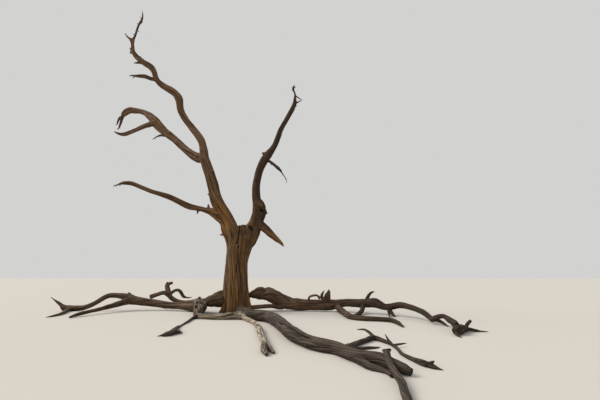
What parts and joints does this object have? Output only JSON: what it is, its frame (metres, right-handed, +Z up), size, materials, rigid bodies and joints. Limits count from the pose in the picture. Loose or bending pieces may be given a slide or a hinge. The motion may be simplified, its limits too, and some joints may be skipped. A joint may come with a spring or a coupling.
{
  "type": "dead thorn tree with fallen limbs",
  "caption": "Leafless dead desert tree: a forked trunk cut flat at the ground, bare crooked boughs with twig tips, and its own fallen limbs round the foot.",
  "frame": {"origin": "middle of the flat cut under the trunk, at ground level", "axes": "+Z up along the trunk; +X towards the shorter forked bough, to the right seen from the front; -Y towards the viewer, the way the longest fallen log runs"},
  "size_m": [10.7316, 8.677, 9.2671],
  "materials": {
    "trunk_wood": "weathered",
    "bough_wood": "weathered",
    "fallen_wood": "weathered",
    "bleached_wood": "weathered",
    "twigs": "matte"
  },
  "bodies": {
    "root": {"trunk": "trunk_wood", "left_bough": "bough_wood", "left_upper_bough": "bough_wood", "left_upper_bough_end": "bough_wood", "side_limb": "bough_wood", "curl_bough": "bough_wood", "curl_bough_end": "bough_wood", "under_limb": "bough_wood", "low_left_bough": "bough_wood", "right_bough": "bough_wood", "right_upper_bough": "bough_wood", "broken_limb": "bough_wood", "top_twigs": "twigs", "side_limb_twigs": "twigs", "curl_twigs": "twigs", "under_limb_twigs": "twigs", "thorn_twigs": "twigs", "low_left_twigs": "twigs", "right_top_twigs": "twigs", "right_side_twigs": "twigs", "left_butt": "fallen_wood", "left_knot": "fallen_wood", "left_log": "fallen_wood", "left_upper_arm": "fallen_wood", "left_lower_arm": "fallen_wood", "left_low_twig": "fallen_wood", "back_snag": "fallen_wood", "pale_limb": "bleached_wood", "pale_limb_end": "bleached_wood", "front_log": "fallen_wood", "front_log_end": "fallen_wood", "front_log_prong": "fallen_wood", "crossing_branch": "fallen_wood", "chain_branch": "fallen_wood", "front_strand": "fallen_wood", "right_log": "fallen_wood", "right_log_end": "fallen_wood", "right_log_stub": "fallen_wood", "right_log_prop": "fallen_wood", "right_low_branch": "fallen_wood", "right_end_leg": "fallen_wood", "right_foot_limb": "fallen_wood", "end_arch": "fallen_wood", "end_piece": "fallen_wood", "front_stick": "fallen_wood"}
  },
  "joints": []
}
